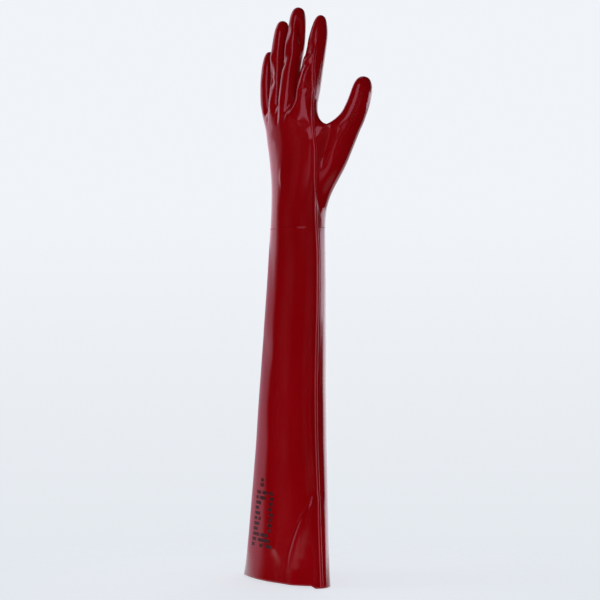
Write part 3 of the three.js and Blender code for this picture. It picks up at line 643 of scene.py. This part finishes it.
# %% Make a piece of a bmesh
def looks_inwards(face):
    return face.normal.dot(on_skin(face.calc_center_median() / MM)[1]) < 0


def make_piece(name, work):
    """Keeps a bmesh as an object of the scene, smoothly shaded."""
    mesh = bpy.data.meshes.new(name)
    work.to_mesh(mesh)
    work.free()
    mesh.polygons.foreach_set("use_smooth", [True] * len(mesh.polygons))
    piece = bpy.data.objects.new(name, mesh)
    bpy.context.scene.collection.objects.link(piece)
    return piece


# %% Lay a strip on the skin
def lay_strip(name, path, half_width, profile, step=2.5, columns=12, closed=False, fade=0.0):
    """A grid laid along a path on the skin; profile gives its height at a share across, from -1 to 1.
    Over the last rows, a share of fade, it sinks into the skin."""
    line = [on_skin(p)[0] for p in even_steps(path, step)]
    strip = bmesh.new()
    bmesh.ops.create_grid(strip, x_segments=columns, y_segments=len(line) - 1, size=0.5)
    for v in strip.verts:
        k, across = round((v.co.y + 0.5) * (len(line) - 1)), v.co.x * 2
        before, after = line[max(k - 1, 0)], line[min(k + 1, len(line) - 1)]
        if closed and k in (0, len(line) - 1):
            before, after = line[-2], line[1]
        _, up = on_skin(line[k])
        side = (after - before).cross(up).normalized()
        spot, up = on_skin(line[k] + side * half_width * across)
        stands = min(1.0, (1.0 - k / (len(line) - 1)) / fade) if fade else 1.0
        v.co = (spot + up * (profile(across) * stands - EDGE_SINK * (1 - stands))) * MM
    if closed:
        bmesh.ops.remove_doubles(strip, verts=strip.verts, dist=0.05 * MM)
    bmesh.ops.recalc_face_normals(strip, faces=strip.faces)
    if looks_inwards(strip.faces[:][len(strip.faces) // 2]):
        bmesh.ops.reverse_faces(strip, faces=strip.faces)
    piece = make_piece(name, strip)
    mesh = piece.data
    crest = mesh.attributes.new("crest", "FLOAT", "POINT")  # how far it stands out, in millimetres
    crest.data.foreach_set("value", [(v.co / MM - on_skin(v.co / MM)[0]).length for v in mesh.vertices])
    print(name, "is", round(sum((b - a).length for a, b in zip(line, line[1:]))), "mm long,",
          len(mesh.polygons), "faces")
    return piece


# %% The side seam, from the mouth over the thumb side to the tip of the index finger
def sleeve_place(turn_degrees, height, out=4):
    """A place just off the sleeve, at an angle from the thumb side and a height."""
    share = height / SLEEVE_LENGTH
    flare, flare_depth, lean = (np.interp(share, rows[:, 0], rows[:, c]) for c in (1, 2, 3))
    a = math.radians(turn_degrees)
    return Vector((LEAN_TO_THUMB * lean + (mix(WRIST_BREADTH, CUFF_BREADTH, flare) / 2 + out) * math.cos(a),
                   LEAN_TO_PALM * lean + (mix(WRIST_DEPTH, CUFF_DEPTH, flare_depth) / 2 + out) * math.sin(a),
                   height))


side_seam_path = [sleeve_place(-2 + z / 170, z) for z in range(0, 345, 20)] + [Vector(p) for p in [
    (49, 9, 357), (48, 8.7, 371), (46.9, 8.6, 385), (46.9, 8.4, 402), (49.4, 7.1, 418), (52.6, 5.4, 433),
    (54.4, 4.2, 448), (54.3, 2.9, 461), (52.8, 2.3, 473), (50.3, 2.9, 486), (48.6, 4.0, 497),
    (48.3, 4.8, 512), (48.8, 5.0, 528), (49.1, 5.6, 541), (49.8, 7.5, 554), (50.6, 10, 565), (50.1, 13, 576)]]


def double_ridge(across):
    """Two ridges side by side, where the liner's cloth is folded back on both sides of its stitches."""
    broad = 0.85 * math.exp(-(((across + 0.36) / 0.26) ** 2))
    narrow = 0.5 * math.exp(-(((across - 0.42) / 0.17) ** 2))
    return broad + narrow - EDGE_SINK


side_seam = lay_strip("side_seam", side_seam_path, 3.0, double_ridge, step=2.0, columns=28, fade=0.08)

# %% The ring seam at the wrist
ring_path = [sleeve_place(t, SLEEVE_LENGTH - 1) for t in range(0, 361, 10)]


def ridge_profile(across):
    return 0.26 * math.exp(-((across / 0.34) ** 2)) - 0.05


wrist_seam = lay_strip("wrist_seam", ring_path, 1.9, ridge_profile, step=2.0, columns=10, closed=True)

# %% [markdown]
# ## Plain printed bars
# Long gloves are marked with black ink near the mouth. Here the mark is rows of plain bars. Ink has no
# thickness to speak of, so each bar is a small grid laid on the skin a hair above it, which follows
# the sleeve's curve without stretching.

# %% Ink bars
BAR_HEIGHT, INK_HEIGHT = 3.6, 0.06  # millimetres up the sleeve, and above the skin
INK_ROWS = [  # height in millimetres, then the turns in degrees where each bar starts and ends
    (106, [(-99, -93)]), (101, [(-100, -92)]),
    (93, [(-108, -98), (-95, -86), (-83, -76)]), (87.5, [(-109, -103), (-100, -88), (-81, -75)]),
    (82, [(-109, -97), (-82, -76)]), (76.5, [(-110, -101), (-83, -77)]), (71, [(-110, -98), (-82, -75)]),
    (65.5, [(-111, -104), (-101, -96), (-82, -76)]), (60, [(-111, -99), (-84, -77)]),
    (54.5, [(-112, -101), (-83, -78)]), (49, [(-112, -98), (-95, -82)]), (43.5, [(-113, -103), (-99, -80)]),
    (38, [(-113, -106), (-96, -90), (-86, -76)]),
]
bars = bmesh.new()
for height, row in INK_ROWS:
    for start, end in row:
        grid = bmesh.ops.create_grid(bars, x_segments=8, y_segments=2, size=0.5)
        for v in grid["verts"]:
            spot, up = on_skin(sleeve_place(mix(start, end, v.co.x + 0.5), height + BAR_HEIGHT * v.co.y))
            v.co = (spot + up * INK_HEIGHT) * MM
bmesh.ops.recalc_face_normals(bars, faces=bars.faces)
for face in bars.faces:
    if looks_inwards(face):
        face.normal_flip()
ink_bars = make_piece("ink_bars", bars)
print("ink bars:", sum(len(row) for _, row in INK_ROWS))

# %% [markdown]
# ## The wall
# Seen at the mouth, the glove is a coat about a millimetre and a half thick with cotton inside. The
# Solidify modifier gives the skin that wall inwards, closes the cut edge, and hands the inner side a
# second material.

# %% Give the skin its wall
wall = glove.modifiers.new("wall", "SOLIDIFY")
wall.thickness = WALL * MM
wall.offset = -1
wall.material_offset = 1
wall.material_offset_rim = 0
print("wall of", WALL, "mm")

# %% [markdown]
# ## Glossy red PVC
# The coat is deep red, slightly darker where it is thick, and as glossy as lacquer with a very fine
# orange peel. The Principled shader covers this with the base colour for the pigment and a low, slightly
# uneven roughness for the gloss. The ridges of the seams are painted paler and pinker, partly because
# the coat runs thin there and partly as a painted highlight along each ridge. The shader's coat layer
# could add a second gloss on top, but it would blur this sharp one.

# %% Helpers for nodes
def new_material(name):
    material = bpy.data.materials.new(name)
    material.use_nodes = True
    nodes = material.node_tree.nodes
    return material, nodes, nodes["Principled BSDF"]


def feed(node, values):
    """Gives a node's inputs, by name or number, their values or links from other nodes' outputs."""
    for name, value in values.items():
        if isinstance(value, bpy.types.NodeSocket):
            node.id_data.links.new(value, node.inputs[name])
        else:
            node.inputs[name].default_value = value
    return node


def add_node(kind, values, **settings):
    """Adds a node to the tree that nodes stands for at the time."""
    node = nodes.new("ShaderNode" + kind)
    for name, value in settings.items():
        setattr(node, name, value)
    return feed(node, values)


def object_place(stretch=(1, 1, 1)):
    """Object coordinates, which are metres, times a stretch."""
    place = add_node("TexCoord", {}).outputs["Object"]
    return add_node("Mapping", {"Vector": place, "Scale": stretch}).outputs["Vector"]


def add_noise(scale, detail=2.0, stretch=(1, 1, 1)):
    """Noise: scale counts its grains in a metre."""
    values = {"Vector": object_place(stretch), "Scale": scale, "Detail": detail}
    return add_node("TexNoise", values).outputs["Fac"]


def ramp(value, stops):
    node = add_node("ValToRGB", {"Fac": value})
    elements = node.color_ramp.elements
    for element, (position, colour) in zip((elements[0], elements[1]), (stops[0], stops[-1])):
        element.position, element.color = position, (*colour, 1)
    for position, colour in stops[1:-1]:
        elements.new(position).color = (*colour, 1)
    return node.outputs["Color"]


def mix_colours(factor, a, b):
    """Colour a where the factor is 0, colour b where it is 1."""
    return add_node("Mix", {"Factor": factor, "A": a, "B": b}, data_type="RGBA").outputs["Result"]


def add_bump(height, strength, distance):
    return add_node("Bump", {"Height": height, "Strength": strength, "Distance": distance}).outputs["Normal"]


# %% The coat
pvc, nodes, shader = new_material("red_pvc")
pigment = ramp(add_noise(24, 3.0, (1, 1, 0.5)), [(0.3, (0.25, 0.0, 0.002)), (0.7, (0.29, 0.0, 0.003))])
# over the crest of a seam the film is thin and the pale cotton lightens it; the pale pink there is also a
# painted highlight along the ridge
crest = add_node("Attribute", {}, attribute_name="crest").outputs["Fac"]
thin_coat_and_painted_highlight = ramp(crest, [(0.3, (0, 0, 0)), (0.8, (0.5,) * 3)])
feed(shader, {
    "Base Color": mix_colours(thin_coat_and_painted_highlight, pigment, (0.8, 0.1, 0.14, 1)),
    "Roughness": ramp(add_noise(60, 4.0, (1, 1, 0.35)), [(0.3, (0.09,) * 3), (0.75, (0.16,) * 3)]),
    "Normal": add_bump(add_noise(900), 0.12, 0.0002),
    "IOR": 1.45,
})
print("nodes in the coat:", len(nodes))

# %% The knitted cotton inside
cotton, nodes, shader = new_material("cotton_liner")
ribs = add_node("TexWave", {"Vector": object_place(), "Scale": 300, "Distortion": 1.5}).outputs["Fac"]
feed(shader, {
    "Base Color": ramp(ribs, [(0.2, (0.46, 0.34, 0.32)), (0.8, (0.6, 0.47, 0.45))]),
    "Roughness": 0.9,
    "Sheen Weight": 0.3,
    "Normal": add_bump(ribs, 0.5, 0.0005),
})
print("nodes in the cotton:", len(nodes))

# %% Printing ink, thin and a little worn
ink, nodes, shader = new_material("black_ink")
worn = ramp(add_noise(420, 5.0),
            [(0.36, (0.01, 0.003, 0.004)), (0.5, (0.02, 0.002, 0.003)), (0.68, (0.16, 0.0, 0.005))])
feed(shader, {"Base Color": worn, "Roughness": 0.45, "Specular IOR Level": 0.22})
print("nodes in the ink:", len(nodes))

# %% Paint the pieces
for piece, material in ((glove, pvc), (glove, cotton), (side_seam, pvc), (wrist_seam, pvc), (ink_bars, ink)):
    piece.data.materials.append(material)
    print(piece.name, "has", material.name)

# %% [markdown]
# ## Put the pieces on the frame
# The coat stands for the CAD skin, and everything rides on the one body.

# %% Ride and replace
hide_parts("glove_skin")
for piece in (glove, side_seam, wrist_seam, ink_bars):
    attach(piece, "root")
    print(piece.name, "rides on the root")

# %% [markdown]
# ## Studio
# A glossy thing looks like what stands round it. The glove is photographed in a white sweep that is
# open to a dark room in front, so its edges turn pale where they mirror the white, and its front stays
# deep red apart from the tall soft boxes. A floor, a world and area lights stand for all this.

# %% Floor
FLOOR_RADIUS, FLOOR_DROP = 0.42, 0.0004  # metres; the drop keeps it clear of the mouth
disc = bmesh.new()
bmesh.ops.create_circle(disc, cap_ends=True, segments=96, radius=FLOOR_RADIUS)
floor = make_piece("floor", disc)
floor.location.z = -FLOOR_DROP
print("floor of", 2 * FLOOR_RADIUS, "m across")

# %% Pale paper that fades out round its rim, so that no horizon is drawn behind the glove
floor_paint, nodes, shader = new_material("floor_paper")
wide = object_place((1 / FLOOR_RADIUS,) * 3)
rim = add_node("TexGradient", {"Vector": wide}, gradient_type="SPHERICAL").outputs["Fac"]
feed(shader, {
    "Base Color": (0.5, 0.52, 0.55, 1),
    "Roughness": 1.0,
    "Specular IOR Level": 0.0,
    "Emission Color": (0.86, 0.9, 0.955, 1),
    "Emission Strength": 0.7,
    "Alpha": ramp(rim, [(0.02, (0, 0, 0)), (0.6, (1, 1, 1))]),
})
floor.data.materials.append(floor_paint)
print("nodes in the paper:", len(nodes))

# %% [markdown]
# ## The room that the glove mirrors
# A photographed room would need an image. A few smooth steps over the direction of a ray draw the same
# thing: how far round it points from the camera, and how far up. The world shows this room only to
# rays that left the glossy coat. The camera sees a plain pale backdrop, and all other light is an even
# grey, so that the colour of the coat can be set apart from its reflections.

# %% Node helpers for the world
CAMERA_TURN = math.radians(60)
world = bpy.data.worlds.new("studio")
bpy.context.scene.world = world
world.use_nodes = True
nodes = world.node_tree.nodes
nodes.clear()


def math_node(operation, *values):
    return add_node("Math", dict(enumerate(values)), operation=operation).outputs[0]


def times(a, b):
    return math_node("MULTIPLY", a, b)


def plus(a, b):
    return math_node("ADD", a, b)


def soft_step(value, low, high):
    """0 below low, 1 above high, and a smooth way between them."""
    values = {"Value": value, "From Min": low, "From Max": high}
    return add_node("MapRange", values, interpolation_type="SMOOTHSTEP").outputs["Result"]


def zone(value, low, high, soft):
    """1 between low and high degrees, fading over soft degrees at both ends."""
    return times(soft_step(value, low - soft / 2, low + soft / 2),
                 math_node("SUBTRACT", 1.0, soft_step(value, high - soft / 2, high + soft / 2)))


# %% Directions in the room
x, y, z = add_node("SeparateXYZ", {0: add_node("TexCoord", {}).outputs["Generated"]}).outputs
to_camera = plus(times(x, math.sin(CAMERA_TURN)), times(y, -math.cos(CAMERA_TURN)))
to_right = plus(times(x, math.cos(CAMERA_TURN)), times(y, math.sin(CAMERA_TURN)))
# degrees round the room from the camera, positive to the right of the picture, and degrees up
around = times(math_node("ARCTAN2", to_right, to_camera), 180 / math.pi)
upwards = times(math_node("ARCSINE", z), 180 / math.pi)
print("the camera looks from", round(math.degrees(CAMERA_TURN)), "degrees round")

# %% What the coat mirrors
DARK = 0.006  # the dark front of the room
MAUVE, WHITE, ROSY = (1.5, 0.83, 1.1), (0.96, 0.93, 1.03), (0.9, 0.4, 0.55)
sweep_left = math_node("SUBTRACT", 0.42, times(soft_step(around, -125, -117), 0.42))
level_strip = times(zone(upwards, -6, 6, 6),
                    math_node("SUBTRACT", 1.6, times(soft_step(around, 140, 162), 1.2)))
wall_right = times(zone(upwards, -60, 18, 12), 1.2)
sweep_right = times(soft_step(around, 116, 124), plus(wall_right, level_strip))
box_low = times(zone(around, -60, -36, 10), zone(upwards, -30, -5, 8))
channels = []
for mauve, white, rosy in zip(MAUVE, WHITE, ROSY):
    sides = plus(times(sweep_left, mauve), times(sweep_right, white))
    channels.append(plus(plus(sides, times(box_low, rosy)), DARK))
room = add_node("CombineXYZ", dict(enumerate(channels))).outputs["Vector"]
print("nodes that draw the room:", len(nodes))

# %% What the camera sees, and all other light
EVEN_GREY = (0.24, 0.24, 0.25, 1)
sky = ramp(plus(times(z, 0.5), 0.5), [(0.43, (0.76, 0.8, 0.845)), (0.52, (0.875, 0.9, 0.942))])
ray = add_node("LightPath", {}).outputs
mirrored = mix_colours(ray["Is Glossy Ray"], EVEN_GREY, room)
seen = mix_colours(ray["Is Camera Ray"], mirrored, sky)
background = add_node("Background", {"Color": seen}).outputs[0]
add_node("OutputWorld", {0: background})
print("nodes in the world:", len(nodes))

# %% [markdown]
# ## Soft boxes
# Each lamp has one task. The fill lamps bring out the red and are kept out of the reflections, and the
# shining ones are only mirrored. They stand near enough that the hand and the sleeve, at different
# heights, mirror different parts of them.

# %% Soft boxes
def soft_box(name, turn_degrees, distance, height, width, tall, power, use, colour=(1, 1, 1)):
    """An area light; turn is from the camera, positive to the right of the picture, in metres and watts."""
    light = bpy.data.lights.new(name, "AREA")
    light.shape = "RECTANGLE"
    light.size, light.size_y, light.energy, light.color = width, tall, power, colour
    lamp = bpy.data.objects.new(name, light)
    a = CAMERA_TURN + math.radians(turn_degrees)
    lamp.location = (math.sin(a) * distance, -math.cos(a) * distance, height)
    lamp.rotation_euler = (Vector((0, 0, height)) - lamp.location).to_track_quat("-Z", "Y").to_euler()
    lamp.visible_camera = False
    lamp.visible_glossy, lamp.visible_diffuse = use == "shine", use == "fill"
    bpy.context.scene.collection.objects.link(lamp)
    return lamp


soft_box("fill_front", 0, 2.4, 0.1, 2.0, 1.6, 21, "fill")
soft_box("fill_left", -85, 2.2, 0.1, 1.2, 1.6, 16, "fill")
soft_box("fill_back", 170, 2.4, 0.8, 2.0, 2.0, 18, "fill")
soft_box("box_left", -42, 0.7, 0.76, 0.36, 0.5, 1.3, "shine", (1, 0.5, 0.7))
soft_box("box_right", 101, 0.8, 0.375, 0.45, 0.23, 1.45, "shine", (1, 0.84, 1))
soft_box("box_behind", -150, 1.2, 0.815, 1.1, 0.83, 2.3, "shine", (1, 0.8, 0.93))
print("lamps:", len(bpy.data.lights))

# %% [markdown]
# ## Camera
# The photograph is taken from far away, almost level, from the thumb side of the hand's back.

# %% Camera at the photograph's angle
CAMERA_DISTANCE, CAMERA_SIDE, CAMERA_HEIGHT = 2.2, 0.0147, 0.294  # metres from the middle of the mouth
MM_PER_PIXEL, PICTURE_WIDTH, SENSOR_WIDTH = 1.05, 600, 36  # at the glove; pixels; millimetres
camera = bpy.data.objects.new("camera", bpy.data.cameras.new("camera"))
right = Vector((math.cos(CAMERA_TURN), math.sin(CAMERA_TURN), 0))
towards = Vector((math.sin(CAMERA_TURN), -math.cos(CAMERA_TURN), 0))
camera.location = towards * CAMERA_DISTANCE + right * CAMERA_SIDE + Vector((0, 0, CAMERA_HEIGHT))
camera.rotation_euler = (-towards).to_track_quat("-Z", "Y").to_euler()
camera.data.lens = SENSOR_WIDTH * CAMERA_DISTANCE / (MM_PER_PIXEL * MM * PICTURE_WIDTH)
bpy.context.scene.collection.objects.link(camera)
bpy.context.scene.camera = camera
bpy.context.scene.view_settings.view_transform = "Standard"
print("lens:", round(camera.data.lens, 1), "mm")
